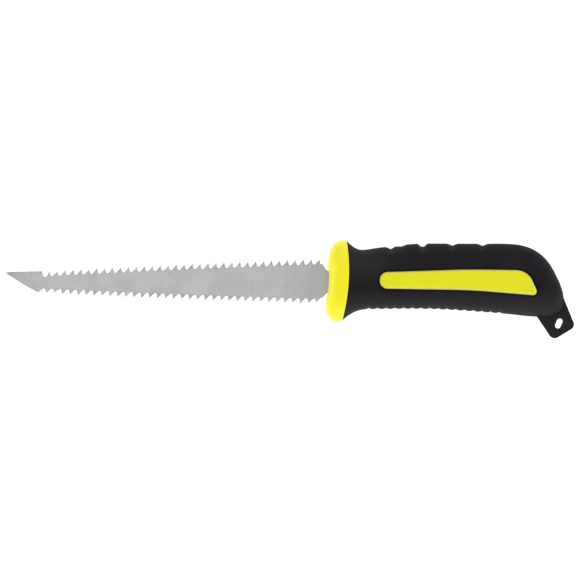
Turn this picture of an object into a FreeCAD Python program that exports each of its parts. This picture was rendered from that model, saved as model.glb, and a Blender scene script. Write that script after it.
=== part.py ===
import FreeCAD, Part

import math
import os

import Sketcher

# Double-edged drywall jab saw: a toothed steel blade in a two-shade handle with a hanging lug.
#
# Drawing axes: X runs from the blade's point to the butt, Y is up across the blade's width and
# Z is the handle's thickness. The drawing's zero is the blade's point, on the blade's middle line
# and middle plane. Every piece is then placed so that the saw lies on its right-hand side, with
# the part's origin on the floor under the middle of its box.

DIMENSIONS = {
    # whole saw
    "overall_length": 300.0,
    "half_thickness": 14.0,
    "highest_edge": 22.1,
    "lowest_edge": -29.8,
    # blade
    "blade_thickness": 1.5,
    "neck_station": 170.4,
    "neck_height": 11.5,
    "point_rise": 4.9,
    "plate_length": 18.9,
    "plate_top": 5.75,
    "plate_corner": 16.9,
    "plate_drop": 5.3,
    "tooth_pitch": 4.19,
    "tooth_count": 35,
    "tooth_land": 0.15,
    "steep_drop": 2.35,
    "steep_angle": 12.0,
    "slope_drop": 2.1,
    "slope_angle": 45.0,
    "gullet_radius": 0.85,
    "upper_start": 22.9,
    "upper_height": 5.75,
    "upper_taper": 2.45,
    "lower_start": 21.4,
    "lower_height": 5.8,
    "lower_taper": 2.15,
    "lower_shoulder_run": 4.0,
    "lower_shoulder_drop": 3.3,
    "tang_length": 76.0,
    "tang_radius": 5.0,
    # ferrule
    "ferrule_front": 169.8,
    "ferrule_rear": 179.1,
    "ferrule_lean": 1.0,
    "ferrule_bulge": 150.0,
    "ferrule_low": -21.3,
    "ferrule_face_low": -14.5,
    "ferrule_face_high": 13.0,
    "ferrule_toe_run": 4.6,
    "ferrule_crown_run": 7.2,
    "ferrule_toe_round": 7.5,
    "ferrule_crown_round": 9.5,
    "ferrule_rim_low": -20.6,
    "ferrule_rim_high": 21.6,
    "ferrule_corner": 12.5,
    "ferrule_lead": 5.0,
    "ferrule_reach": 20.0,
    # core halves
    "core_half": 10.5,
    "core_chamfer": 3.0,
    "lug_half": 4.0,
    "lug_corner": 3.2,
    "lug_hole_x": 292.0,
    "lug_hole_y": -21.9,
    "lug_hole_radius": 1.55,
    "lug_hole_travel": 2.4,
    "lug_hole_angle": 66.0,
    # rivets
    "rivet_count": 3,
    "rivet_start": 206.0,
    "rivet_pitch": 17.0,
    "rivet_line": 0.8,
    "shank_radius": 2.0,
    "head_radius": 3.2,
    "head_height": 1.2,
    # grip sleeve
    "sleeve_half": 13.4,
    "sleeve_round": 6.0,
    "notch_count": 4,
    "notch_start": 203.2,
    "notch_pitch": 16.2,
    "notch_half_width": 2.6,
    "notch_depth": 1.3,
    "rib_count": 16,
    "rib_start": 191.85,
    "rib_pitch": 4.59,
    "rib_depth": 0.65,
    "rib_groove_radius": 1.3,
    # inlays
    "inlay_front": 197.4,
    "inlay_front_low": -3.5,
    "inlay_front_high": 5.1,
    "inlay_middle": 246.0,
    "inlay_middle_low": -4.35,
    "inlay_middle_high": 6.7,
    "inlay_toe": 281.45,
    "inlay_toe_low": -7.3,
    "inlay_rear": 275.5,
    "inlay_rear_high": 6.15,
    "inlay_nose_round": 4.2,
    "inlay_heel_round": 9.6,
    "inlay_toe_round": 2.1,
    "inlay_bevel": 0.8,
    "peg_radius": 1.5,
    "peg_length": 4.0,
    "peg_station": 258.0,
    "peg_line": 0.5,
}

# The sleeve's long outline, as (station, height), from behind the ferrule over the back, round the
# butt and home along the underside. It starts and ends at the ferrule's rear rim.
SLEEVE_LINE = (
    (183.0, 19.0), (187.5, 17.4), (194.0, 17.8), (203.0, 19.0), (214.0, 20.0),
    (226.0, 20.25), (246.0, 20.3), (264.0, 20.2), (276.8, 17.8), (285.6, 11.7), (290.9, 3.4),
    (294.3, -6.2), (293.2, -14.0), (286.6, -18.2), (276.0, -18.0), (262.6, -16.9),
    (244.0, -15.6), (226.0, -14.6), (206.0, -14.4), (190.0, -14.8), (183.0, -16.6),
)

# The ferrule's rear rim, as (station, height), at its low end and its high end.
FERRULE_RIM = (
    ("Dims.ferrule_rear - 1.5 * Dims.ferrule_lean", "Dims.ferrule_rim_low"),
    ("Dims.ferrule_rear + Dims.ferrule_lean / 2", "Dims.ferrule_rim_high"),
)

# The core's outline, as (station, height), a wall's thickness inside the sleeve.
CORE_LINE = (
    (174.5, 13.0), (192.0, 13.0), (214.0, 16.2), (266.0, 16.2), (283.5, 6.5), (288.6, -6.5),
    (285.5, -14.0), (262.6, -13.2), (226.0, -11.0), (192.0, -11.2), (174.5, -11.2),
)

# The hanging lug's outline, as (station, height). The corners at its free end are rounded.
LUG_ROOT_FRONT = (277.4, -13.7)
LUG_FRONT_CORNER = ((287.1, -28.25), (291.2, -29.45))
LUG_REAR_CORNER = ((298.6, -25.0), (299.5, -20.6))
LUG_ROOT_REAR = ((294.6, -8.6), (286.0, -4.0))

# The blade's shoulder behind its last upper tooth, as (run, drop) from that tooth's peak.
UPPER_SHOULDER = ((3.6, 5.1), (1.9, 2.6), (0.8, 2.2))

# All the points of the sleeve's back are higher than this, and all its underside's lower than
# its negative.
FLANK_HEIGHT = 14.0
# Only the sleeve's two long outlines are edges longer than this.
LONG_EDGE = 100.0
# Places this close together count as the same.
NEAR = 0.01
# A half circle is drawn this much larger than its chord allows, which the sketch can still solve.
HALF_CIRCLE = 1.0001

doc = FreeCAD.newDocument("drywall_saw")
sheet = doc.addObject("Spreadsheet::Sheet", "Dims")
for row, (alias, size) in enumerate(DIMENSIONS.items(), start=1):
    sheet.set(f"A{row}", alias)
    sheet.set(f"B{row}", str(size))
    sheet.setAlias(f"B{row}", alias)
doc.recompute()


def value(formula):
    """The number that a formula on the sheet gives."""
    return float(sheet.evalExpression(str(formula)))


def place(piece, station="0", height="0", level="0"):
    """Puts a piece, drawn about the drawing's zero, at its place in the part's frame."""
    piece.setExpression(".Placement.Base.x", f"{station} - Dims.overall_length / 2")
    middle = "(Dims.highest_edge + Dims.lowest_edge) / 2"
    piece.setExpression(".Placement.Base.y", f"{height} - {middle}")
    piece.setExpression(".Placement.Base.z", f"{level} + Dims.half_thickness")


def new_body(name):
    body = doc.addObject("PartDesign::Body", name)
    place(body)
    return body


def new_sketch(body, name, plane="XY_Plane", offset=None):
    """A sketch on one of the body's own planes. offset is (x, y, z, turn in degrees) formulas."""
    sketch = body.newObject("Sketcher::SketchObject", name)
    support = [item for item in body.Origin.OriginFeatures if item.Role == plane][0]
    sketch.AttachmentSupport = [(support, "")]
    sketch.MapMode = "FlatFace"
    if offset:
        for axis, formula in zip("xyz", offset):
            sketch.setExpression(f".AttachmentOffset.Base.{axis}", formula)
        sketch.setExpression(".AttachmentOffset.Rotation.Angle", offset[3])
    return sketch


def arc_between(start, end, radius):
    """The shorter arc between two points. A positive radius turns left on the way."""
    chord = end - start
    half = chord.Length / 2
    left = FreeCAD.Vector(-chord.y, chord.x, 0).normalize()
    reach = math.sqrt(max(radius**2 - half**2, 0.0))
    side = 1 if radius > 0 else -1
    centre = (start + end) * 0.5 + left * reach * side
    crown = centre - left * abs(radius) * side
    return Part.ArcOfCircle(start, crown, end) if radius > 0 else Part.ArcOfCircle(end, crown, start)


def draw_outline(sketch, corners):
    """A closed outline, its corners and radii held to their numbers or formulas.

    A corner is (x, y), or (x, y, radius) when an arc leaves it instead of a line.
    """
    points = [FreeCAD.Vector(value(corner[0]), value(corner[1]), 0) for corner in corners]
    starts, ends = [], []
    for index, corner in enumerate(corners):
        here, onward = points[index], points[(index + 1) % len(points)]
        if len(corner) == 2:
            sketch.addGeometry(Part.LineSegment(here, onward))
            starts.append(1)
            ends.append(2)
            continue
        radius = value(corner[2])
        sketch.addGeometry(arc_between(here, onward, radius))
        starts.append(1 if radius > 0 else 2)
        ends.append(2 if radius > 0 else 1)
    for index, corner in enumerate(corners):
        onward = (index + 1) % len(corners)
        sketch.addConstraint(
            Sketcher.Constraint("Coincident", index, ends[index], onward, starts[onward])
        )
        for kind, formula, distance in (
            ("DistanceX", corner[0], points[index].x),
            ("DistanceY", corner[1], points[index].y),
        ):
            hold(sketch, (kind, -1, 1, index, starts[index], distance), formula)
        if len(corner) == 3:
            size = abs(value(corner[2]))
            hold(sketch, ("Radius", index, size), f"abs({corner[2]})")


def hold(sketch, constraint, formula):
    """Adds a dimension to a sketch and binds it to the sheet, unless it is a plain number."""
    number = sketch.addConstraint(Sketcher.Constraint(*constraint))
    name = f"{constraint[0]}_{number}"
    sketch.renameConstraint(number, name)
    if "Dims." in str(formula):
        sketch.setExpression(f"Constraints.{name}", str(formula))


def pad(body, sketch, name, length, both_ways=True):
    feature = body.newObject("PartDesign::Pad", name)
    feature.Profile = sketch
    feature.setExpression("Length", length)
    if both_ways:
        feature.SideType = "Symmetric"
    return feature


def pocket_through(body, sketch, name):
    """Cuts a sketch on the middle plane right through the body, both ways."""
    doc.recompute()
    before = body.Shape.Volume
    feature = body.newObject("PartDesign::Pocket", name)
    feature.Profile = sketch
    feature.SideType = "Symmetric"
    feature.setExpression("Length", "4 * Dims.half_thickness")
    doc.recompute()
    if not body.Shape.Volume < before:
        raise RuntimeError(f"{name} cuts nothing")
    return feature


def repeat(body, feature, name, axis, spacing, count, backwards=False):
    pattern = body.newObject("PartDesign::LinearPattern", name)
    pattern.Originals = [feature]
    pattern.Direction = axis
    pattern.Reversed = backwards
    pattern.Mode = "Spacing"
    pattern.setExpression("Offset", spacing)
    pattern.setExpression("Occurrences", count)
    body.Tip = pattern
    doc.recompute()
    return pattern


def long_edges(shape, level):
    """Names of the edges that lie flat at a level, above and below the middle plane."""
    names = []
    for number, edge in enumerate(shape.Edges, start=1):
        box = edge.BoundBox
        if box.ZLength < NEAR and abs(abs(box.ZMin) - level) < NEAR:
            names.append(f"Edge{number}")
    return names


def upright_edges(shape, station):
    """Names of the edges that stand along Z at a station."""
    names = []
    for number, edge in enumerate(shape.Edges, start=1):
        box = edge.BoundBox
        if box.ZLength > NEAR and box.XLength < NEAR and abs(box.XMin - station) < NEAR:
            names.append(f"Edge{number}")
    return names


def dress(body, base, kind, name, edges, property_name, size):
    """A fillet or a chamfer on some of a feature's edges."""
    feature = body.newObject(kind, name)
    feature.Base = (base, edges)
    feature.setExpression(property_name, size)
    return feature


def cut(name, base, tools):
    """base with every tool taken out of it, one after another."""
    for number, tool in enumerate(tools, start=1):
        last = number == len(tools)
        result = doc.addObject("Part::Cut", name if last else f"{name}_cut_{number}")
        result.Base = base
        result.Tool = tool
        base = result
    return result


def group(name, pieces):
    """Solids that stay separate, held as one object."""
    compound = doc.addObject("Part::Compound", name)
    compound.Links = pieces
    return compound


def mirrored(name, source):
    """A left-hand piece turned into its right-hand twin, across the blade's middle plane."""
    twin = doc.addObject("Part::Mirroring", name)
    twin.Source = source
    twin.Normal = FreeCAD.Vector(0, 0, 1)
    twin.setExpression(".Base.z", "Dims.half_thickness")
    return twin


def cut_teeth(body, name, origin_x, origin_y, turn, backwards):
    """One row of gullets. Their drawing lies along the tooth line, with its Y pointing outward."""
    sketch = new_sketch(body, f"{name}_gullet", offset=(origin_x, origin_y, "0", turn))
    steep_x = "Dims.tooth_land + Dims.steep_drop * tan(Dims.steep_angle * 1 deg)"
    slope_x = "Dims.tooth_pitch - Dims.slope_drop * tan(Dims.slope_angle * 1 deg)"
    draw_outline(sketch, (
        ("Dims.tooth_land", "0"),
        (steep_x, "-Dims.steep_drop", "Dims.gullet_radius"),
        (slope_x, "-Dims.slope_drop"),
        ("Dims.tooth_pitch", "0"),
        ("Dims.tooth_pitch", "Dims.tooth_pitch / 2"),
        ("Dims.tooth_land", "Dims.tooth_pitch / 2"),
    ))
    gullet = pocket_through(body, sketch, f"{name}_cut")
    axis = (sketch, ["H_Axis"])
    repeat(body, gullet, f"{name}_row", axis, "Dims.tooth_pitch", "Dims.tooth_count", backwards)


def make_blade():
    body = new_body("blade")
    rows = "Dims.tooth_pitch * (Dims.tooth_count - 1)"
    upper_end = (
        f"Dims.upper_start + {rows} * cos(Dims.upper_taper * 1 deg) + Dims.tooth_land",
        f"Dims.upper_height + {rows} * sin(Dims.upper_taper * 1 deg)",
    )
    lower_end = (
        f"Dims.lower_start + {rows} * cos(Dims.lower_taper * 1 deg)",
        f"-Dims.lower_height - {rows} * sin(Dims.lower_taper * 1 deg)",
    )
    half_neck = "Dims.neck_height / 2"
    tang_end = "Dims.neck_station + Dims.tang_length"
    sketch = new_sketch(body, "blade_outline")
    draw_outline(sketch, (
        ("0", "Dims.point_rise"),
        ("Dims.plate_corner", "-Dims.plate_drop"),
        ("Dims.lower_start", "-Dims.lower_height"),
        lower_end,
        (
            f"{lower_end[0]} + Dims.lower_shoulder_run",
            f"{lower_end[1]} + Dims.lower_shoulder_drop",
        ),
        ("Dims.neck_station", f"-{half_neck}"),
        (f"{tang_end} - Dims.tang_radius", f"-{half_neck}", "Dims.tang_radius"),
        (tang_end, f"-{half_neck} + Dims.tang_radius"),
        (tang_end, f"{half_neck} - Dims.tang_radius", "Dims.tang_radius"),
        (f"{tang_end} - Dims.tang_radius", half_neck),
        ("Dims.neck_station", half_neck),
        *((f"{upper_end[0]} + {run}", f"{upper_end[1]} - {drop}") for run, drop in UPPER_SHOULDER),
        upper_end,
        ("Dims.upper_start", "Dims.upper_height"),
        ("Dims.plate_length", "Dims.plate_top"),
        ("Dims.plate_length / 4", "(Dims.point_rise + 2 * Dims.plate_top) / 3"),
    ))
    pad(body, sketch, "blade_plate", "Dims.blade_thickness")
    before_x = "Dims.upper_start - Dims.tooth_pitch * cos(Dims.upper_taper * 1 deg)"
    before_y = "Dims.upper_height - Dims.tooth_pitch * sin(Dims.upper_taper * 1 deg)"
    cut_teeth(body, "upper", before_x, before_y, "Dims.upper_taper", backwards=False)
    lower_turn = "180 - Dims.lower_taper"
    cut_teeth(
        body, "lower", "Dims.lower_start", "-Dims.lower_height", lower_turn, backwards=True
    )
    holes = new_sketch(body, "rivet_hole", offset=("Dims.rivet_start", "Dims.rivet_line", "0", "0"))
    holes.addGeometry(Part.Circle(FreeCAD.Vector(), FreeCAD.Vector(0, 0, 1), 1))
    holes.addConstraint(Sketcher.Constraint("Coincident", 0, 3, -1, 1))
    hold(holes, ("Radius", 0, 1), "Dims.shank_radius")
    hole = pocket_through(body, holes, "rivet_hole_cut")
    repeat(
        body, hole, "rivet_hole_row", (holes, ["H_Axis"]), "Dims.rivet_pitch", "Dims.rivet_count"
    )
    return body


def make_ferrule_blank():
    """The guard's side outline, rounded by its oval seen from the blade's end."""
    side = new_body("ferrule_side")
    front, lean = "Dims.ferrule_front", "Dims.ferrule_lean"
    sketch = new_sketch(side, "ferrule_outline")
    draw_outline(sketch, (
        (f"{front} - {lean} / 2", "Dims.ferrule_face_low", "Dims.ferrule_toe_round"),
        (f"{front} + Dims.ferrule_toe_run - {lean}", "Dims.ferrule_low"),
        FERRULE_RIM[0] + ("Dims.ferrule_bulge",),
        FERRULE_RIM[1],
        (f"{front} + Dims.ferrule_crown_run", "Dims.highest_edge", "Dims.ferrule_crown_round"),
        (f"{front} + {lean} / 2", "Dims.ferrule_face_high"),
    ))
    pad(side, sketch, "ferrule_side_pad", "2 * Dims.half_thickness")
    section = new_body("ferrule_section")
    start = ("0", "0", f"{front} - Dims.ferrule_lead", "0")
    oval = new_sketch(section, "ferrule_oval", "YZ_Plane", start)
    top, low, across = "Dims.highest_edge", "Dims.ferrule_low", "Dims.half_thickness"
    bend = "Dims.ferrule_corner"
    draw_outline(oval, (
        (f"{low} + {bend}", f"-{across}"),
        (f"{top} - {bend}", f"-{across}", bend),
        (top, f"-{across} + {bend}"),
        (top, f"{across} - {bend}", bend),
        (f"{top} - {bend}", across),
        (f"{low} + {bend}", across, bend),
        (low, f"{across} - {bend}"),
        (low, f"-{across} + {bend}", bend),
    ))
    pad(section, oval, "ferrule_section_pad", "Dims.ferrule_reach", both_ways=False)
    blank = doc.addObject("Part::Common", "ferrule_blank")
    blank.Base = side
    blank.Tool = section
    return blank


def make_core_blank():
    """Both core halves in one, before they are split: the grip's stiff heart and the lug."""
    body = new_body("core_blank")
    sketch = new_sketch(body, "core_outline")
    draw_outline(sketch, CORE_LINE[::-1])
    slab = pad(body, sketch, "core_pad", "2 * Dims.core_half")
    doc.recompute()
    edges = long_edges(slab.Shape, value("Dims.core_half"))
    dress(body, slab, "PartDesign::Chamfer", "core_edges", edges, "Size", "Dims.core_chamfer")
    lug = new_sketch(body, "lug_outline")
    bend = ("Dims.lug_corner",)
    draw_outline(lug, (
        LUG_ROOT_FRONT,
        LUG_FRONT_CORNER[0] + bend,
        LUG_FRONT_CORNER[1],
        LUG_REAR_CORNER[0] + bend,
        LUG_REAR_CORNER[1],
        *LUG_ROOT_REAR,
    ))
    pad(body, lug, "lug_pad", "2 * Dims.lug_half")
    turn = "Dims.lug_hole_angle"
    hole = new_sketch(body, "lug_hole", offset=("Dims.lug_hole_x", "Dims.lug_hole_y", "0", turn))
    half, radius = "Dims.lug_hole_travel / 2", "Dims.lug_hole_radius"
    draw_outline(hole, (
        (f"-{half}", f"-{radius}"),
        (half, f"-{radius}", f"{radius} * {HALF_CIRCLE}"),
        (half, radius),
        (f"-{half}", radius, f"{radius} * {HALF_CIRCLE}"),
    ))
    pocket_through(body, hole, "lug_hole_cut")
    return body


def make_core_half(core_blank, held):
    """The left half of the core, with room for what it holds."""
    side = doc.addObject("Part::Box", "left_side")
    side.setExpression("Length", "Dims.overall_length")
    side.setExpression("Width", "Dims.overall_length")
    side.setExpression("Height", "Dims.half_thickness")
    place(side, "0", "-Dims.overall_length / 2", "0")
    half = doc.addObject("Part::Common", "core_left_blank")
    half.Base = core_blank
    half.Tool = side
    return cut("core_left", half, held)


def make_rivet(number):
    """A solid rivet with a flat head sunk into each core half, set through the tang."""
    station = f"Dims.rivet_start + {number} * Dims.rivet_pitch"
    shank = doc.addObject("Part::Cylinder", f"shank_{number}")
    shank.setExpression("Radius", "Dims.shank_radius")
    shank.setExpression("Height", "2 * Dims.core_half")
    place(shank, station, "Dims.rivet_line", "-Dims.core_half")
    pieces = [shank]
    for side, level in (("left", "Dims.core_half - Dims.head_height"), ("right", "-Dims.core_half")):
        head = doc.addObject("Part::Cylinder", f"{side}_head_{number}")
        head.setExpression("Radius", "Dims.head_radius")
        head.setExpression("Height", "Dims.head_height")
        place(head, station, "Dims.rivet_line", level)
        pieces.append(head)
    rivet = doc.addObject("Part::MultiFuse", f"rivet_{number}")
    rivet.Shapes = pieces
    rivet.Refine = True
    return rivet


def make_rivets():
    return group(
        "tang_rivets", [make_rivet(number) for number in range(int(value("Dims.rivet_count")))]
    )


def make_inlay():
    """The left inlay: a long bar in the sleeve's window, with a bevelled rim and a peg."""
    body = new_body("inlay_left")
    sketch = new_sketch(body, "inlay_outline", offset=("0", "0", "Dims.core_half", "0"))
    draw_outline(sketch, (
        ("Dims.inlay_front", "Dims.inlay_front_low"),
        ("Dims.inlay_middle", "Dims.inlay_middle_low"),
        ("Dims.inlay_toe", "Dims.inlay_toe_low"),
        ("Dims.inlay_rear", "Dims.inlay_rear_high"),
        ("Dims.inlay_middle", "Dims.inlay_middle_high"),
        ("Dims.inlay_front", "Dims.inlay_front_high"),
    ))
    height = "Dims.half_thickness - Dims.core_half"
    feature = pad(body, sketch, "inlay_pad", height, both_ways=False)
    for name, station in (
        ("inlay_nose_round", "Dims.inlay_front"),
        ("inlay_heel_round", "Dims.inlay_rear"),
        ("inlay_toe_round", "Dims.inlay_toe"),
    ):
        doc.recompute()
        edges = upright_edges(feature.Shape, value(station))
        feature = dress(body, feature, "PartDesign::Fillet", name, edges, "Radius", f"Dims.{name}")
    doc.recompute()
    edges = long_edges(feature.Shape, value("Dims.half_thickness"))
    dress(body, feature, "PartDesign::Chamfer", "inlay_rim", edges, "Size", "Dims.inlay_bevel")
    doc.recompute()
    peg = new_sketch(body, "peg_outline", offset=("Dims.peg_station", "Dims.peg_line", "0", "0"))
    peg.setExpression(".AttachmentOffset.Base.z", "Dims.core_half - Dims.peg_length")
    peg.addGeometry(Part.Circle(FreeCAD.Vector(), FreeCAD.Vector(0, 0, 1), 1))
    peg.addConstraint(Sketcher.Constraint("Coincident", 0, 3, -1, 1))
    hold(peg, ("Radius", 0, 1), "Dims.peg_radius")
    pad(body, peg, "peg_pad", "Dims.peg_length", both_ways=False)
    return body


def make_sleeve_blank():
    """The soft grip's outer shape, rounded all along, before its notches, ribs and windows."""
    body = new_body("sleeve_blank")
    sketch = new_sketch(body, "sleeve_outline")
    rim = [(value(station), value(height)) for station, height in FERRULE_RIM]
    points = [FreeCAD.Vector(x, y, 0) for x, y in (rim[1], *SLEEVE_LINE, rim[0])]
    spline = Part.BSplineCurve()
    spline.interpolate(points)
    sketch.addGeometry(spline)
    sketch.addGeometry(arc_between(points[-1], points[0], value("Dims.ferrule_bulge")))
    slab = pad(body, sketch, "sleeve_pad", "2 * Dims.sleeve_half")
    doc.recompute()
    edges = [
        name for name in long_edges(slab.Shape, value("Dims.sleeve_half"))
        if slab.Shape.getElement(name).Length > LONG_EDGE
    ]
    dress(body, slab, "PartDesign::Fillet", "sleeve_edges", edges, "Radius", "Dims.sleeve_round")
    return body


def underside(station):
    """The sleeve's lower outline at a station, between the points of SLEEVE_LINE."""
    lower = [point for point in SLEEVE_LINE if point[1] < -FLANK_HEIGHT]
    for (x_far, y_far), (x_near, y_near) in zip(lower, lower[1:]):
        if x_near <= station <= x_far:
            return y_near + (y_far - y_near) * (station - x_near) / (x_far - x_near)
    raise ValueError(f"no underside at {station}")


def back(station):
    """The sleeve's upper outline at a station, between the points of SLEEVE_LINE."""
    upper = [point for point in SLEEVE_LINE if point[1] > FLANK_HEIGHT]
    for (x_near, y_near), (x_far, y_far) in zip(upper, upper[1:]):
        if x_near <= station <= x_far:
            return y_near + (y_far - y_near) * (station - x_near) / (x_far - x_near)
    raise ValueError(f"no back at {station}")


def make_notches():
    """Square bars, on edge, that press the cross notches into the grip's back."""
    bars = []
    for number in range(int(value("Dims.notch_count"))):
        station = f"Dims.notch_start + {number} * Dims.notch_pitch"
        bar = doc.addObject("Part::Box", f"notch_{number}")
        side = "Dims.notch_half_width * sqrt(2)"
        bar.setExpression("Length", side)
        bar.setExpression("Width", side)
        bar.setExpression("Height", "2 * Dims.half_thickness")
        bar.Placement.Rotation = FreeCAD.Rotation(FreeCAD.Vector(0, 0, 1), 45)
        level = f"{back(value(station))} - Dims.notch_depth"
        place(bar, station, level, "-Dims.half_thickness")
        bars.append(bar)
    return group("notch_bars", bars)


def make_rib_grooves():
    """Round bars that press the grooves between the fine ribs into the grip's underside."""
    bars = []
    for number in range(int(value("Dims.rib_count"))):
        station = f"Dims.rib_start + {number} * Dims.rib_pitch"
        bar = doc.addObject("Part::Cylinder", f"rib_groove_{number}")
        bar.setExpression("Radius", "Dims.rib_groove_radius")
        bar.setExpression("Height", "2 * Dims.half_thickness")
        level = f"{underside(value(station))} + Dims.rib_depth - Dims.rib_groove_radius"
        place(bar, station, level, "-Dims.half_thickness")
        bars.append(bar)
    return group("rib_bars", bars)


blade = make_blade()
core_blank = make_core_blank()
rivets = make_rivets()
inlay_left = make_inlay()
inlay_right = mirrored("inlay_right", inlay_left)
core_left = make_core_half(core_blank, [blade, rivets, inlay_left])
core_right = mirrored("core_right", core_left)
ferrule_blank = make_ferrule_blank()
ferrule = cut("ferrule", ferrule_blank, [blade, core_blank])
grip_sleeve = cut(
    "grip_sleeve",
    make_sleeve_blank(),
    [core_blank, inlay_left, inlay_right, make_notches(), make_rib_grooves()],
)
doc.recompute()

for item in doc.Objects:
    if "Invalid" in item.State or "Error" in item.State:
        raise RuntimeError(f"{item.Label} failed: {item.State}")

os.makedirs("parts", exist_ok=True)
SUB_PARTS = (
    blade, ferrule, core_left, core_right, rivets, grip_sleeve, inlay_left, inlay_right,
)
for piece in SUB_PARTS:
    if piece.Shape.isNull() or not piece.Shape.isValid():
        raise RuntimeError(f"{piece.Label} has no valid shape")
    piece.Shape.exportStep(f"parts/{piece.Label}.step")
    box = piece.Shape.BoundBox
    print(
        f"{piece.Label}: {len(piece.Shape.Solids)} solid(s), {piece.Shape.Volume:.0f} mm3, "
        f"X {box.XMin:.2f}..{box.XMax:.2f}, Y {box.YMin:.2f}..{box.YMax:.2f}, "
        f"Z {box.ZMin:.2f}..{box.ZMax:.2f}"
    )
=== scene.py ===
import math

import bmesh
import bpy
import numpy as np
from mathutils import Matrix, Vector


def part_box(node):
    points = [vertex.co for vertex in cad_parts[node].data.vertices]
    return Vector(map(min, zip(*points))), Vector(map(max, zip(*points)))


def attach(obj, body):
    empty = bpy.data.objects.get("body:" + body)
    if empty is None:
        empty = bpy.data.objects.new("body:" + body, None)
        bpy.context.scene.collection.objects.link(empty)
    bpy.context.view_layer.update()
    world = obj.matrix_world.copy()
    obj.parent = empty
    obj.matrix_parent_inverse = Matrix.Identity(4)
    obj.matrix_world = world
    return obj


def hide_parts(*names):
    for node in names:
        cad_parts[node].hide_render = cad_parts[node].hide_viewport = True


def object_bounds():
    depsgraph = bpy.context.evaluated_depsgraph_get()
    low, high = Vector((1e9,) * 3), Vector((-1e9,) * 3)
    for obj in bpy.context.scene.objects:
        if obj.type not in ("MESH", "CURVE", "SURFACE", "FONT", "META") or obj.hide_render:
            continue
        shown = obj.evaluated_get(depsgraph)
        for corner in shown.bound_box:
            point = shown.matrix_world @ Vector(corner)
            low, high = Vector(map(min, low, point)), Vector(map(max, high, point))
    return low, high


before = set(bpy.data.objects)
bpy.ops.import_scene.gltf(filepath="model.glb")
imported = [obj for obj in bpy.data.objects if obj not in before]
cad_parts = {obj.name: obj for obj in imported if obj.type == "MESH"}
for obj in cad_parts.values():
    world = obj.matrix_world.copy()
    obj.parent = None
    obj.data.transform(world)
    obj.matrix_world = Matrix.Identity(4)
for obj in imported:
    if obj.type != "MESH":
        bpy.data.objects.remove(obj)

# The saw is drawn in millimetres: X from the blade's point to the butt, Y up from the blade's
# middle line and Z from the blade's middle plane. placed() turns that into the frame's metres.
CAD_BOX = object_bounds()
MM = 0.001
RIVET_LINE = 0.8  # the rivets' height above the blade's middle line
HALF = (CAD_BOX[1].z - CAD_BOX[0].z) / 2 / MM
BLADE_HALF = (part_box("blade")[1].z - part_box("blade")[0].z) / 2 / MM
RIVET_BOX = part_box("tang_rivets")
ZERO = np.array((
    CAD_BOX[0].x,
    (RIVET_BOX[0].y + RIVET_BOX[1].y) / 2 - RIVET_LINE * MM,
    (CAD_BOX[0].z + CAD_BOX[1].z) / 2,
))


# ---- shapes ------------------------------------------------------------------------------------

def placed(points):
    return ZERO + np.asarray(points, dtype=float) * MM


def spline(rows, count, weights=None):
    """A natural cubic spline through the rows of numbers, as count rows spaced evenly along it."""
    rows = np.asarray(rows, dtype=float)
    steps = np.diff(rows, axis=0) * (1 if weights is None else np.asarray(weights))
    knots = np.concatenate(([0], np.cumsum(np.maximum(np.linalg.norm(steps, axis=1), 1e-6))))
    size, gaps = len(rows), np.diff(knots)
    matrix, right = np.eye(size), np.zeros_like(rows)
    for i in range(1, size - 1):
        matrix[i, i - 1:i + 2] = gaps[i - 1], 2 * (gaps[i - 1] + gaps[i]), gaps[i]
        right[i] = 6 * (
            (rows[i + 1] - rows[i]) / gaps[i] - (rows[i] - rows[i - 1]) / gaps[i - 1]
        )
    bends = np.linalg.solve(matrix, right)
    at = np.linspace(0, knots[-1], count)
    span = np.clip(np.searchsorted(knots, at, side="right") - 1, 0, size - 2)
    gap, left, near = gaps[span][:, None], (at - knots[span])[:, None], span
    back = gap - left
    return (
        (bends[near] * back**3 + bends[near + 1] * left**3) / (6 * gap)
        + (rows[near] / gap - bends[near] * gap / 6) * back
        + (rows[near + 1] / gap - bends[near + 1] * gap / 6) * left
    )


def rounded_outline(corners, step=0.5):
    """A closed outline of (x, y) points from corners (x, y, radius), its arcs divided finely."""
    points, total = [], len(corners)
    for i, (x, y, radius) in enumerate(corners):
        here = Vector((x, y))
        before = (Vector(corners[i - 1][:2]) - here).normalized()
        after = (Vector(corners[(i + 1) % total][:2]) - here).normalized()
        opening = before.angle(after)
        reach = radius / math.tan(opening / 2)
        centre = here + (before + after).normalized() * radius / math.sin(opening / 2)
        start, end = here + before * reach - centre, here + after * reach - centre
        sweep = start.angle_signed(end)
        parts = max(2, math.ceil(abs(sweep) * radius / step), math.ceil(abs(sweep) / 0.12))
        for k in range(parts + 1):
            turn = -sweep * k / parts
            points.append((
                centre.x + start.x * math.cos(turn) - start.y * math.sin(turn),
                centre.y + start.x * math.sin(turn) + start.y * math.cos(turn),
            ))
    return np.array(points)


def divided(outline, step):
    """The same closed outline with its long sides cut into steps."""
    points = []
    for here, onward in zip(outline, np.roll(outline, -1, axis=0)):
        parts = max(1, round(float(np.linalg.norm(onward - here)) / step))
        points.extend(here + (onward - here) * k / parts for k in range(parts))
    return np.array(points)


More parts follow.
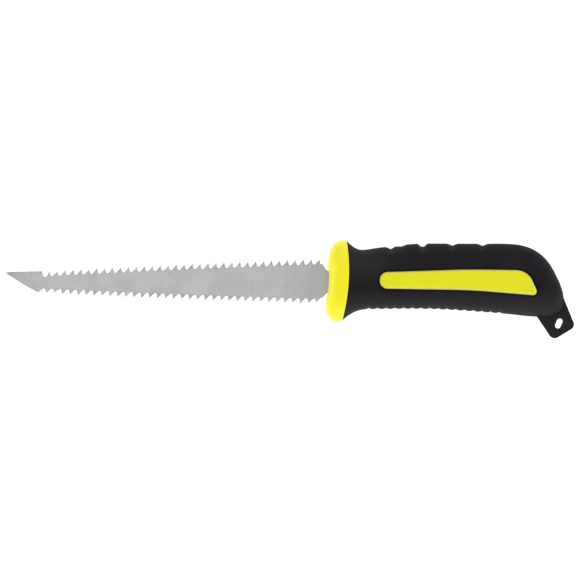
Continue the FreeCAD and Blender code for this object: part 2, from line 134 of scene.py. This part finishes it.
def outline_distance(points, outline):
    """Distance of (x, y) points from a closed outline, negative inside it."""
    starts, ends = outline, np.roll(outline, -1, axis=0)
    best, inside = np.full(len(points), 1e9), np.zeros(len(points), dtype=bool)
    for (ax, ay), (bx, by) in zip(starts, ends):
        along = np.array((bx - ax, by - ay))
        offset = points - (ax, ay)
        share = np.clip(offset @ along / max(along @ along, 1e-12), 0, 1)
        best = np.minimum(best, np.linalg.norm(offset - share[:, None] * along, axis=1))
        crosses = (ay > points[:, 1]) != (by > points[:, 1])
        if ay != by:
            inside ^= crosses & (points[:, 0] < ax + (points[:, 1] - ay) / (by - ay) * (bx - ax))
    return np.where(inside, -best, best)


def smooth_step(low, high, values):
    share = np.clip((values - low) / (high - low), 0, 1)
    return share * share * (3 - 2 * share)


def mesh_piece(name, points, faces, material, smooth=True):
    mesh = bpy.data.meshes.new(name)
    mesh.from_pydata([tuple(point) for point in placed(points)], [], faces)
    shape = bmesh.new()
    shape.from_mesh(mesh)
    bmesh.ops.recalc_face_normals(shape, faces=shape.faces)
    shape.to_mesh(mesh)
    shape.free()
    for polygon in mesh.polygons:
        polygon.use_smooth = smooth
    piece = bpy.data.objects.new(name, mesh)
    bpy.context.scene.collection.objects.link(piece)
    mesh.materials.append(material)
    return piece


def tube_faces(rings, around):
    """Quads between rings of points that close on themselves, and a face over each end."""
    faces = []
    for ring in range(rings - 1):
        here, beyond = ring * around, (ring + 1) * around
        for k in range(around):
            onward = (k + 1) % around
            faces.append((here + k, here + onward, beyond + onward, beyond + k))
    last = (rings - 1) * around
    faces.append(tuple(range(around)))
    faces.append(tuple(range(last, last + around)))
    return faces


def superellipse(around, high, wide, squareness):
    """(v, z) points round a superellipse of half height 1 and half width wide, evenly spaced."""
    turn = np.linspace(0, 2 * math.pi, 4 * 360 + 1)
    power = 2 / squareness
    v = np.sign(np.cos(turn)) * np.abs(np.cos(turn)) ** power
    z = np.sign(np.sin(turn)) * np.abs(np.sin(turn)) ** power * wide
    length = np.concatenate(([0], np.cumsum(np.hypot(np.diff(v * high), np.diff(z)))))
    at = np.linspace(0, length[-1], around, endpoint=False)
    return np.interp(at, length, v), np.interp(at, length, z)


# ---- materials ---------------------------------------------------------------------------------

class Shader:
    """A Principled material with the object's own coordinates, in millimetres."""

    def __init__(self, name, **values):
        self.material = bpy.data.materials.new(name)
        self.material.use_nodes = True
        self.nodes, self.links = self.material.node_tree.nodes, self.material.node_tree.links
        self.surface = self.nodes["Principled BSDF"]
        for socket, value in values.items():
            self.surface.inputs[socket.replace("_", " ")].default_value = value
        place = self.nodes.new("ShaderNodeTexCoord")
        scale = self.nodes.new("ShaderNodeVectorMath")
        scale.operation = "SCALE"
        scale.inputs["Scale"].default_value = 1 / MM
        self.links.new(place.outputs["Object"], scale.inputs[0])
        self.place = scale.outputs["Vector"]
        self.height = None

    def noise(self, size, stretch=(1, 1, 1), detail=3.0, roughness=0.55):
        """Soft noise whose features are about size millimetres across."""
        shape = self.nodes.new("ShaderNodeVectorMath")
        shape.operation = "MULTIPLY"
        shape.inputs[1].default_value = [1 / part for part in stretch]
        self.links.new(self.place, shape.inputs[0])
        noise = self.nodes.new("ShaderNodeTexNoise")
        noise.inputs["Scale"].default_value = 1 / size
        noise.inputs["Detail"].default_value = detail
        noise.inputs["Roughness"].default_value = roughness
        self.links.new(shape.outputs[0], noise.inputs["Vector"])
        return noise.outputs["Fac"]

    def axis(self, letter):
        """How far along an axis of the frame a point is, in millimetres."""
        parts = self.nodes.new("ShaderNodeSeparateXYZ")
        self.links.new(self.place, parts.inputs[0])
        return parts.outputs[letter]

    def grains(self, size):
        """Small pebbles, size millimetres apart, as spark-eroded moulds leave."""
        cells = self.nodes.new("ShaderNodeTexVoronoi")
        cells.feature = "SMOOTH_F1"
        cells.inputs["Scale"].default_value = 1 / size
        cells.inputs["Smoothness"].default_value = 0.6
        self.links.new(self.place, cells.inputs["Vector"])
        return cells.outputs["Distance"]

    def ramp(self, source, *stops):
        """source, from 0 to 1, turned into colours or greys by (position, colour) stops."""
        ramp = self.nodes.new("ShaderNodeValToRGB")
        for index, (position, colour) in enumerate(stops):
            spot = (
                ramp.color_ramp.elements[index] if index < 2
                else ramp.color_ramp.elements.new(position)
            )
            spot.position = position
            spot.color = (*colour, 1) if len(colour) == 3 else (colour[0],) * 3 + (1,)
        self.links.new(source, ramp.inputs["Fac"])
        return ramp.outputs["Color"]

    def feed(self, socket, value):
        """Sets an input to a number or an (r, g, b) colour, or links an output to it."""
        if isinstance(value, bpy.types.NodeSocket):
            self.links.new(value, socket)
        elif isinstance(value, tuple):
            socket.default_value = (*value, 1)
        else:
            socket.default_value = value

    def mixed(self, share, first, second, mode="MIX"):
        """second laid over first, by a share that is a number or a socket."""
        mix = self.nodes.new("ShaderNodeMix")
        mix.data_type, mix.blend_type = "RGBA", mode
        # a mix node for colours takes its factor, first and second colour here
        self.feed(mix.inputs[0], share)
        self.feed(mix.inputs[6], first)
        self.feed(mix.inputs[7], second)
        return mix.outputs[2]

    def math(self, operation, *values):
        step = self.nodes.new("ShaderNodeMath")
        step.operation = operation
        for socket, value in zip(step.inputs, values):
            self.feed(socket, value)
        return step.outputs[0]

    def rise(self, letter, start, end, top=1.0):
        """From 0 at start to top at end, in millimetres along an axis of the frame."""
        slope = 1 / (end - start)
        share = self.math("MULTIPLY_ADD", self.axis(letter), slope, -start * slope)
        return self.ramp(share, (0.0, (0.0,)), (1.0, (top,)))

    def colour(self, source):
        self.links.new(source, self.surface.inputs["Base Color"])

    def roughness(self, source, low, high):
        spread = self.nodes.new("ShaderNodeMapRange")
        spread.inputs["To Min"].default_value, spread.inputs["To Max"].default_value = low, high
        self.links.new(source, spread.inputs["Value"])
        self.links.new(spread.outputs["Result"], self.surface.inputs["Roughness"])

    def bump(self, source, millimetres, strength=1.0):
        """Adds a bump as high as millimetres where source is 1."""
        bump = self.nodes.new("ShaderNodeBump")
        bump.inputs["Distance"].default_value = millimetres * MM
        bump.inputs["Strength"].default_value = strength
        self.links.new(source, bump.inputs["Height"])
        if self.height:
            self.links.new(self.height, bump.inputs["Normal"])
        self.height = bump.outputs["Normal"]
        self.links.new(self.height, self.surface.inputs["Normal"])


SHOWN_BLADE = 171.0  # how much of the blade stands out of the guard
# the toothed edges' distance from the blade's middle line: at the point, and more per millimetre
EDGE_START, EDGE_RISE = 2.2, 0.038


def steel():
    """Ground carbon steel: a fine lengthwise grain, faint cloudy marks, painted shade on the teeth and
    at the neck, and a little darker toward the point.
    """
    shader = Shader("blade_steel", Metallic=0.8, Roughness=0.5)
    grain = shader.noise(0.12, stretch=(40, 1, 1), detail=4.0)
    clouds = shader.noise(9.0, detail=4.0, roughness=0.6)
    marks = shader.noise(1.6, stretch=(1, 5, 1), detail=2.0)
    base = shader.ramp(clouds, (0.3, (0.62, 0.625, 0.62)), (0.7, (0.71, 0.71, 0.71)))
    lines = shader.ramp(grain, (0.25, (0.9,)), (0.75, (1.0,)))
    spots = shader.ramp(marks, (0.62, (0.0,)), (0.78, (1.0,)))
    toned = shader.mixed(1.0, base, lines, mode="MULTIPLY")
    marked = shader.mixed(shader.math("MULTIPLY", spots, 0.3), toned, (0.86, 0.86, 0.86))
    along = shader.math("SUBTRACT", shader.axis("X"), ZERO[0] / MM)
    across = shader.math("SUBTRACT", shader.axis("Y"), ZERO[1] / MM)
    edge = shader.math("MULTIPLY_ADD", along, EDGE_RISE, EDGE_START)
    toothed = shader.math("SUBTRACT", shader.math("ABSOLUTE", across), edge)
    # painted shade: patches along the teeth are darkened, standing in for the shade on their ground
    # and set facets
    patches = shader.ramp(shader.noise(3.2, detail=2.0), (0.42, (0.0,)), (0.6, (1.0,)))
    tooth_shade = shader.math("MULTIPLY", shader.ramp(toothed, (0.1, (0.0,)), (1.0, (1.0,))), patches)
    shaded_steel = shader.mixed(shader.math("MULTIPLY", tooth_shade, 0.6), marked, (0.42, 0.42, 0.42))
    # the steel is a little darker toward the point, and at the neck it is painted darker and bluer as
    # shade where the blade goes into the guard
    share = shader.math("MULTIPLY", along, 1 / SHOWN_BLADE)
    darker_point = shader.ramp(share, (0.0, (0.3,)), (0.16, (0.0,)))
    neck_shade = shader.ramp(share, (0.84, (0.0,)), (1.0, (0.7,)))
    shaded_steel = shader.mixed(darker_point, shaded_steel, (0.42, 0.42, 0.43))
    shader.colour(shader.mixed(neck_shade, shaded_steel, (0.56, 0.57, 0.68)))
    shader.roughness(grain, 0.42, 0.58)
    shader.bump(grain, 0.02, 0.5)
    return shader.material


def yellow_plastic(name, base, deep, highlight_colour, fall):
    """Fluorescent moulded plastic with a faintly wavy satin skin.

    It is painted toward a paler highlight colour on its sloping edges, between two falls, in
    millimetres, from its highest level.
    """
    shader = Shader(name, Roughness=0.4)
    clouds = shader.noise(14.0, detail=2.0)
    level = shader.math("ABSOLUTE", shader.math("SUBTRACT", shader.axis("Z"), HALF))
    fallen = shader.math("SUBTRACT", HALF - fall[0], level)
    share = shader.math("MULTIPLY", fallen, 1 / (fall[1] - fall[0]))
    # painted highlight: the colour pales on the sloping edges, standing in for light caught there from
    # the sides
    painted_highlight = shader.ramp(share, (0.0, (0.0,)), (1.0, (1.0,)))
    shader.colour(shader.mixed(painted_highlight, shader.ramp(clouds, (0.3, deep), (0.7, base)), highlight_colour))
    fine = shader.noise(0.35, detail=2.0)
    shader.roughness(fine, 0.34, 0.46)
    shader.bump(fine, 0.006)
    shader.bump(shader.noise(7.0, detail=1.0), 0.05, 0.4)
    shader.surface.inputs["Subsurface Weight"].default_value = 0.08
    shader.surface.inputs["Subsurface Radius"].default_value = (0.8, 0.7, 0.1)
    shader.surface.inputs["Subsurface Scale"].default_value = 1.5 * MM
    return shader.material


def black_rubber():
    """Soft black rubber with a fine pebbled skin, a little smoother in patches.

    Its colour is painted lighter along the underside, as light from below, and on the upper half of
    its neck, as a painted highlight.
    """
    shader = Shader("black_rubber", Roughness=0.7)
    shader.surface.inputs["Specular IOR Level"].default_value = 0.06
    pebbles = shader.grains(0.45)
    patches = shader.noise(11.0, detail=3.0)
    black = shader.ramp(patches, (0.3, (0.0105, 0.009, 0.0115)), (0.7, (0.0145, 0.0125, 0.0155)))
    # painted light: the underside is lightened as if lit from below, and the upper neck carries a
    # painted highlight
    underside = shader.rise("Y", 0.0, -11.1)
    neck = shader.math("MULTIPLY", shader.rise("X", 63.3, 41.1, top=0.75), shader.rise("Y", 2.2, 13.3))
    shader.colour(shader.mixed(shader.math("ADD", underside, neck), black, (0.026, 0.023, 0.0265)))
    shader.roughness(patches, 0.6, 0.78)
    shader.bump(pebbles, 0.05, 0.6)
    shader.bump(shader.noise(0.15, detail=2.0), 0.012)
    return shader.material


def black_plastic():
    """Hard black plastic, matt, with a slightly scuffed skin."""
    shader = Shader("black_plastic", Roughness=0.55)
    shader.surface.inputs["Specular IOR Level"].default_value = 0.2
    scuffs = shader.noise(2.0, stretch=(3, 1, 1), detail=5.0)
    dark, light = (0.008, 0.0065, 0.0095), (0.012, 0.01, 0.014)
    shader.colour(shader.ramp(scuffs, (0.35, dark), (0.75, light)))
    shader.roughness(scuffs, 0.48, 0.66)
    shader.bump(shader.noise(0.2, detail=2.0), 0.012)
    return shader.material


def rivet_steel():
    """Zinc-plated steel, cloudy and turned."""
    shader = Shader("rivet_steel", Metallic=1.0, Roughness=0.35)
    clouds = shader.noise(1.2, detail=3.0)
    shader.colour(shader.ramp(clouds, (0.3, (0.5, 0.5, 0.49)), (0.7, (0.62, 0.62, 0.6))))
    shader.roughness(clouds, 0.28, 0.42)
    shader.bump(shader.noise(0.1, detail=2.0), 0.01)
    return shader.material


STEEL, RUBBER, HARD_BLACK = steel(), black_rubber(), black_plastic()
# the third colour of each is the painted highlight on its sloping edges, the last pair where it fades
# in
GUARD_YELLOW = yellow_plastic(
    "guard_yellow", (0.85, 0.79, 0.004), (0.825, 0.76, 0.003), (0.66, 0.62, 0.03), (3.5, 12.0)
)
INLAY_YELLOW = yellow_plastic(
    "inlay_yellow", (0.735, 0.71, 0.003), (0.71, 0.685, 0.002), (0.56, 0.54, 0.07), (0.0, 0.6)
)


# ---- inlays ------------------------------------------------------------------------------------

INLAY_CORNERS = (
    (197.4, -3.5, 4.15), (246.0, -4.35, 350.0), (281.45, -7.3, 2.1),
    (275.5, 6.15, 9.6), (244.0, 6.7, 420.0), (197.4, 5.1, 4.15),
)
INLAY_OUTLINE = divided(rounded_outline(INLAY_CORNERS), 0.8)
DRAWN_HALF = 14.0  # the half thickness that the rim's heights are drawn for
# (step in from the outline, height above the middle plane) round the rim of an inlay
INLAY_RIM = (
    (0.0, 10.9), (0.0, 12.5), (0.05, 12.85), (0.18, 13.15), (0.38, 13.42), (0.65, 13.64),
    (0.95, 13.8), (1.3, 13.91), (1.7, 13.975), (2.2, DRAWN_HALF),
)


def inward(outline, distance):
    """The outline moved in by a distance, at its corners along their bisectors."""
    before, after = outline - np.roll(outline, 1, axis=0), np.roll(outline, -1, axis=0) - outline
    sides = [side / np.linalg.norm(side, axis=1)[:, None] for side in (before, after)]
    normals = [np.column_stack((-side[:, 1], side[:, 0])) for side in sides]
    middle = normals[0] + normals[1]
    middle /= np.linalg.norm(middle, axis=1)[:, None]
    reach = distance / np.maximum((middle * normals[0]).sum(axis=1), 0.5)
    return outline + middle * reach[:, None]


def make_inlay(side, node):
    """One inlay: side is 1 for the left one, and -1 for its mirror image on the right."""
    points = []
    for step, height in INLAY_RIM:
        ring = inward(INLAY_OUTLINE, step)
        points.extend((x, y, side * height * HALF / DRAWN_HALF) for x, y in ring)
    faces = tube_faces(len(INLAY_RIM), len(INLAY_OUTLINE))
    piece = mesh_piece(f"side_{node}", points, faces, INLAY_YELLOW)
    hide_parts(node)
    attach(piece, "root")


# ---- grip sleeve -------------------------------------------------------------------------------

# (back x, back y, underside x, underside y, half thickness, squareness, bulge to the rear)
GRIP_STATIONS = (
    (180.0, 21.9, 177.6, -20.6, 13.2, 2.5, 2.1),
    (183.0, 19.1, 181.0, -17.8, 12.6, 2.5, 1.6),
    (187.2, 17.05, 186.5, -15.05, 12.1, 2.6, 0.9),
    (193.5, 17.6, 193.0, -14.38, 12.0, 2.7, 0.3),
    (203.0, 18.85, 203.0, -14.3, 12.4, 2.7, 0.0),
    (214.0, 20.0, 214.0, -14.23, 13.0, 2.7, 0.0),
    (226.0, 20.32, 226.0, -14.42, 13.35, 2.7, 0.0),
    (240.0, 20.27, 240.0, -15.12, 13.4, 2.7, 0.0),
    (254.0, 20.22, 252.0, -15.97, 13.3, 2.7, 0.0),
    (265.5, 20.15, 262.5, -16.72, 13.1, 2.65, 0.0),
    (276.7, 18.05, 270.5, -17.55, 12.8, 2.6, 0.0),
    (285.5, 11.75, 277.0, -18.2, 12.2, 2.5, 0.0),
    (290.8, 3.2, 282.5, -18.45, 11.2, 2.4, 0.0),
    (294.2, -5.5, 286.8, -18.4, 9.3, 2.3, 0.0),
    (294.6, -10.0, 289.8, -17.5, 6.9, 2.2, 0.0),
    (294.3, -12.9, 291.6, -16.4, 4.4, 2.1, 0.0),
    (293.6, -14.5, 292.6, -15.6, 1.6, 2.0, 0.0),
)
RINGS, AROUND = ((360, 264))
# the notches across the back: (middle, half width, depth, half width of the floor)
NOTCHES = (
    (203.2, 2.6, 1.35, 0.0), (220.1, 2.7, 1.6, 0.8),
    (235.9, 2.9, 1.15, 0.0), (251.8, 2.9, 1.15, 0.0),
)
RIB_START, RIB_PITCH, RIB_COUNT, RIB_DEPTH = 191.7, 4.595, 15, 0.62
GUARD_GAP, GAP_WIDTH = 0.9, 1.3  # the shadow line where the sleeve meets the guard
# how far the back lies under its smooth line between the first notch and the raised pads
BACK_DIP = ((198.0, 0.0), (203.0, 0.2), (209.2, 0.75), (211.6, 0.0))
# how far up the half height the notches and the ribs begin and are whole, and where the gap ends
NOTCH_BAND, RIB_BAND, GAP_BAND = (0.72, 0.93), (0.86, 0.95), (0.9, 0.98)
POCKET_DEPTH, POCKET_EDGE = 1.5, 0.95  # the pocket of an inlay, and how wide its edge slopes
SIDE_BAND, SIDE_LEVEL = 0.75, 6.0  # points past the one or below the other are clear of an inlay
CLEAR = 9.0  # the distance given to those points


def notch_depth(x):
    """How deep the cross notches are at stations x, along the back."""
    depth = np.zeros_like(x)
    for centre, half_width, deep, flat in NOTCHES:
        off = np.maximum(np.abs(x - centre) - flat, 0) / (half_width - flat)
        depth = np.maximum(depth, deep * np.clip(1 - off, 0, 1) ** 1.15)
    return depth + np.interp(x, *np.transpose(BACK_DIP))


def rib_depth(x):
    """How deep the grooves between the ribs are at stations x, along the underside."""
    phase = (x - RIB_START) / RIB_PITCH
    begun = smooth_step(-0.5, -0.2, phase)
    inside = begun * (1 - smooth_step(RIB_COUNT + 0.2, RIB_COUNT + 0.5, phase))
    off = np.abs(phase - np.floor(phase) - 0.5) * 2
    return RIB_DEPTH * inside * off ** 2.0


def grip_points():
    """The sleeve's surface as rings of points, with every feature pressed into it."""
    rows = spline(GRIP_STATIONS, RINGS, weights=(1, 1, 1, 1, 1, 0, 0))
    rings = []
    for back_x, back_y, low_x, low_y, wide, squareness, bulge in rows:
        middle = np.array(((back_x + low_x) / 2, (back_y + low_y) / 2))
        arm = np.array(((back_x - low_x) / 2, (back_y - low_y) / 2))
        v, z = superellipse(AROUND, float(np.hypot(*arm)), max(wide, 0.3), squareness)
        flat = middle + v[:, None] * arm
        flat[:, 0] += bulge * (1 - v * v)
        rings.append(np.column_stack((flat, z, v)))
    grid = np.array(rings)
    place, v = grid[..., :3], grid[..., 3]
    along = np.gradient(place, axis=0)
    across = (np.roll(place, -1, axis=1) - np.roll(place, 1, axis=1)) / 2
    normal = np.cross(across, along)
    normal /= np.maximum(np.linalg.norm(normal, axis=2), 1e-9)[..., None]
    middle = place.mean(axis=1, keepdims=True)
    normal *= np.sign(((place - middle) * normal).sum(axis=2).mean())
    sink = notch_depth(place[..., 0]) * smooth_step(*NOTCH_BAND, v)
    sink += rib_depth(place[..., 0]) * smooth_step(*RIB_BAND, -v)
    behind_guard = place[..., 0] - place[0, :, 0]
    faced = 1 - smooth_step(*GAP_BAND, np.abs(v))
    sink += GUARD_GAP * (1 - smooth_step(0.0, GAP_WIDTH, behind_guard)) * faced
    near = (np.abs(v) < SIDE_BAND) & (np.abs(place[..., 2]) > SIDE_LEVEL)
    distance = np.full(v.shape, CLEAR)
    distance[near] = outline_distance(place[near][:, :2], INLAY_OUTLINE)
    sink += POCKET_DEPTH * (1 - smooth_step(0.0, POCKET_EDGE, distance))
    return place - normal * sink[..., None]


def make_grip():
    points = grip_points().reshape(-1, 3).tolist()
    faces = tube_faces(RINGS, AROUND)
    piece = mesh_piece("soft_grip", points, faces, RUBBER)
    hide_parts("grip_sleeve")
    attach(piece, "root")


# ---- guard -------------------------------------------------------------------------------------

# (x, middle y, half height, half thickness, squareness, bulge to the rear), from inside the
# blade's slot over the guard's face and crown to inside its rear rim
GUARD_RINGS = (
    (175.0, 0.1, 5.95, 0.95, 5.0, 0.0),
    (171.6, 0.1, 5.95, 0.95, 5.0, 0.0),
    (170.7, 0.1, 6.3, 1.3, 4.0, 0.0),
    (170.35, 0.1, 7.4, 2.4, 3.2, 0.0),
    (170.15, 0.2, 11.5, 6.6, 2.7, 0.0),
    (170.35, 0.3, 15.2, 9.7, 2.6, 0.0),
    (171.2, 0.35, 17.9, 11.6, 2.6, 0.1),
    (172.9, 0.4, 20.0, 12.95, 2.6, 0.3),
    (174.9, 0.4, 21.25, 13.7, 2.6, 0.7),
    (176.7, 0.4, 21.68, 13.97, 2.6, 1.2),
    (178.2, 0.45, 21.6, 13.93, 2.6, 1.7),
    (179.1, 0.5, 21.4, 13.8, 2.6, 2.0),
    (179.3, 0.55, 21.05, 13.5, 2.6, 2.1),
    (178.75, 0.6, 19.0, 11.5, 2.6, 2.1),
)
GUARD_LEAN, GUARD_SHIFT = 0.057, -0.42  # how far it moves to the rear per millimetre up, and in all
GUARD_DISH, DISH_MIDDLE, DISH_HALF = 0.9, -0.3, 6.8  # its face is dished round the blade
FACE_FRONT, FACE_END = 170.5, 175.0  # between these the dish fades out


def make_guard():
    rings, around = ((150, 220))
    points = []
    for x, middle, high, wide, squareness, bulge in spline(GUARD_RINGS, rings, (1, 1, 1, 1, 0, 0)):
        v, z = superellipse(around, high, min(wide, HALF), squareness)
        y = middle + v * high
        face = 1 - float(smooth_step(FACE_FRONT, FACE_END, x))
        for k in range(around):
            lean = GUARD_LEAN * y[k] + bulge * (1 - v[k] ** 2)
            dish = GUARD_DISH * math.exp(-((y[k] - DISH_MIDDLE) / DISH_HALF) ** 4) * face
            points.append((x + GUARD_SHIFT + lean + dish, y[k], z[k]))
    faces = tube_faces(rings, around)
    piece = mesh_piece("guard_collar", points, faces, GUARD_YELLOW)
    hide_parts("ferrule")
    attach(piece, "root")


# ---- blade -------------------------------------------------------------------------------------

TOOTH_COUNT, TOOTH_PITCH = 35, 4.195
UPPER_START, UPPER_TAPER = (23.2, 6.15), math.radians(2.47)
LOWER_START, LOWER_TAPER = (21.3, -6.4), math.radians(2.13)
UPPER_DEPTH, LOWER_DEPTH = 2.95, 2.8
ROW_BOW = 0.33  # how far the middle of a row stands outside the line between its ends
# how much shorter the teeth nearest the row's two ends are
SHORT_TEETH = {0: 0.5, 1: 0.4, 2: 0.1, TOOTH_COUNT - 2: 0.15, TOOTH_COUNT - 1: 0.5}
TOOTH_SET, TOOTH_FLEAM = 0.28, 0.42
# one gullet, from a tooth's steep face to the next tooth's slope: (along, share of its depth)
GULLET = ((0.55, 0.78), (0.72, 0.93), (1.1, 1.0), (1.6, 0.97), (2.2, 0.76))
LAND = 0.15
# the plate's outline where it has no teeth, from its point along the lower edge and back above
POINT_BELOW = (
    (0.0, 5.08), (0.0, 4.8), (0.7, 4.15), (8.0, -0.55), (16.6, -5.4), (17.3, -5.55), (20.3, -3.35),
)
LOWER_SHOULDER = ((165.9, -8.95), (167.8, -7.95), (169.9, -5.75))
TANG = ((172.0, -5.75), (241.0, -5.75), (246.4, -1.5), (246.4, 1.5), (241.0, 5.75), (172.0, 5.75))
UPPER_SHOULDER = ((170.2, 5.9), (169.0, 6.9), (167.4, 9.5), (166.2, 9.65))
FIRST_UPPER_FOOT = (21.8, 3.35)
POINT_ABOVE = ((21.0, 2.8), (20.3, 2.95), (19.75, 3.6), (19.3, 5.75), (4.0, 5.5))


def tooth_row(start, taper, gullet_depth, upper):
    """The teeth of one row, from the blade's point to its neck.

    Each is a list of (x, y) points: the feet of its slope and its steep face with the peak
    between them, and the gullet's floor after it. Upper teeth rise toward the neck, lower ones
    stand steep toward the point.
    """
    side = 1 if upper else -1
    along = np.array((math.cos(taper), side * math.sin(taper)))
    outward = np.array((-side * math.sin(taper), math.cos(taper))) * side

    def at(step, depth):
        bow = ROW_BOW * math.sin(math.pi * max(step, 0.0) / (TOOTH_COUNT * TOOTH_PITCH))
        return np.array(start) + along * step + outward * (bow - depth)

    teeth = []
    gullet = [(step, share * gullet_depth) for step, share in GULLET]
    for number in range(TOOTH_COUNT):
        here = number * TOOTH_PITCH
        short = SHORT_TEETH.get(number, 0.0)
        peak = [at(here, short), at(here + LAND, short)]
        if upper:
            foot = at(here - TOOTH_PITCH + gullet[-1][0], gullet[-1][1])
            floor = [at(here + step, depth) for step, depth in gullet]
        else:
            foot = at(here - gullet[0][0] + LAND, gullet[0][1])
            floor = [at(here + TOOTH_PITCH - step + LAND, depth) for step, depth in gullet[::-1]]
        teeth.append((foot, peak, floor))
    return teeth


def plate_faces(plate, profiles):
    """Both faces of the plate and of its teeth, and the narrow faces round their edges.

    Every number is a point on the near face, and the next number is its twin on the far face.
    """
    faces = [tuple(plate), tuple(number + 1 for number in reversed(plate))]
    for profile in profiles:
        faces.append(tuple(reversed(profile)))
        faces.append(tuple(number + 1 for number in profile))
    shared = {frozenset((profile[0], profile[-1])) for profile in profiles}
    edges = [edge for edge in zip(plate, plate[1:] + plate[:1]) if frozenset(edge) not in shared]
    for profile in profiles:
        edges.extend(zip(profile, profile[1:]))
    faces.extend((here, onward, onward + 1, here + 1) for here, onward in edges)
    return faces


def make_blade():
    """The toothed plate, its teeth ground and set to alternate sides, with its tang."""
    vertices = []

    def pair(point, near_shift=(0.0, 0.0), far_shift=(0.0, 0.0), lean=0.0):
        """Adds a point on both faces of the blade and returns the near one's number."""
        x, y = point
        vertices.append((x + near_shift[0], y + near_shift[1], BLADE_HALF + lean))
        vertices.append((x + far_shift[0], y + far_shift[1], -BLADE_HALF + lean))
        return len(vertices) - 2

    def pairs(points):
        return [pair(point) for point in points]

    def tooth(foot, peak, heel, number, side):
        """One tooth on its feet: foot and heel are numbers of points, and side is up or down."""
        cut, whole = np.array((0.0, -side * TOOTH_FLEAM)), (0.0, 0.0)
        near, far, lean = (whole, cut, TOOTH_SET) if number % 2 == 0 else (cut, whole, -TOOTH_SET)
        return [foot, *(pair(point, near, far, lean) for point in peak), heel]

    upper = tooth_row(UPPER_START, UPPER_TAPER, UPPER_DEPTH, True)
    lower = tooth_row(LOWER_START, LOWER_TAPER, LOWER_DEPTH, False)
    plate, profiles = pairs(POINT_BELOW), []
    for number, (foot, peak, floor) in enumerate(lower):
        last = number == TOOTH_COUNT - 1
        start = pair(foot)
        ends = pairs(LOWER_SHOULDER if last else floor[:-1])
        profiles.append(tooth(start, peak, ends[0], number, -1))
        plate.extend([start, *ends])
    plate.extend(pairs(TANG + UPPER_SHOULDER))
    heel = plate[-1]
    for number in range(TOOTH_COUNT - 1, -1, -1):
        foot, peak, _ = upper[number]
        start = pair(foot if number else FIRST_UPPER_FOOT)
        profiles.append(tooth(heel, peak[::-1], start, number, 1))
        plate.append(start)
        if number:
            floor_before = upper[number - 1][2][:-1]
            plate.extend(pairs(floor_before[::-1]))
            heel = plate[-1]
    plate.extend(pairs(POINT_ABOVE))
    faces = plate_faces(plate, profiles)
    piece = mesh_piece("saw_blade", vertices, faces, STEEL, smooth=False)
    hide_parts("blade")
    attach(piece, "root")


# ---- carried-over nodes ------------------------------------------------------------------------

def dress_node(name, material, bevel):
    """A CAD node in its better material, with its sharp edges eased."""
    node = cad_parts[name]
    for slot in node.material_slots:
        slot.material = material
    if not node.material_slots:
        node.data.materials.append(material)
    if bevel:
        ease = node.modifiers.new("eased_edges", "BEVEL")
        ease.width = bevel * MM
        ease.segments = 3
        ease.limit_method = "ANGLE"
        ease.angle_limit = math.radians(40)


# ---- stage -------------------------------------------------------------------------------------

FLOOR_REACH = 30000  # how far the floor goes to each side
PICTURE_WIDTH, PICTURE_MIDDLE = 304.0, (149.1, -3.2)  # what the camera takes in


def make_floor():
    """A floor that the saw lies on, bright enough to come out white, as behind it in the photo."""
    material = Shader("floor", Roughness=0.9)
    material.surface.inputs["Specular IOR Level"].default_value = 0.0
    paper = material.noise(30.0, detail=2.0)
    material.colour(material.ramp(paper, (0.3, (0.93, 0.93, 0.93)), (0.7, (0.95, 0.95, 0.95))))
    material.surface.inputs["Emission Color"].default_value = (1.0, 1.0, 1.0, 1.0)
    material.surface.inputs["Emission Strength"].default_value = 0.6
    turns = ((-1, -1), (1, -1), (1, 1), (-1, 1))
    corners = [(x * FLOOR_REACH, y * FLOOR_REACH, -HALF) for x, y in turns]
    floor = mesh_piece("floor", corners, [(0, 1, 2, 3)], material.material)


def area_light(name, place, size, power, target=(0.0, 0.0, 0.0)):
    data = bpy.data.lights.new(name, "AREA")
    data.shape, data.size, data.energy = "SQUARE", size, power
    light = bpy.data.objects.new(name, data)
    light.location = place
    light.rotation_euler = (Vector(target) - Vector(place)).to_track_quat("-Z", "Y").to_euler()
    bpy.context.scene.collection.objects.link(light)


def light_studio():
    world = bpy.data.worlds.new("studio")
    world.use_nodes = True
    sky = world.node_tree.nodes["Background"]
    sky.inputs["Color"].default_value = (1.0, 1.0, 1.0, 1)
    sky.inputs["Strength"].default_value = 0.375
    bpy.context.scene.world = world
    area_light("left_softbox", (-1.3, 0.1, 0.7), 1.2, 10)
    area_light("right_softbox", (1.3, 0.1, 0.6), 1.2, 11)
    area_light("low_softbox", (0.0, -1.3, 0.7), 1.2, 10.5)
    area_light("high_softbox", (0.0, 1.2, 1.0), 1.2, 7)


def make_camera():
    """Straight down on the saw's left side, from far enough away to flatten it."""
    data = bpy.data.cameras.new("camera")
    data.lens = 900.0
    camera = bpy.data.objects.new("camera", data)
    camera.location = placed((*PICTURE_MIDDLE, PICTURE_WIDTH * data.lens / data.sensor_width))
    bpy.context.scene.collection.objects.link(camera)
    bpy.context.scene.camera = camera


make_camera()
make_inlay(1, "inlay_left")
make_inlay(-1, "inlay_right")
make_grip()
make_guard()
make_blade()
for core in ("core_left", "core_right"):
    dress_node(core, HARD_BLACK, 0.5)
dress_node("tang_rivets", rivet_steel(), 0.15)
make_floor()
light_studio()
bpy.context.scene.view_settings.view_transform = "Standard"
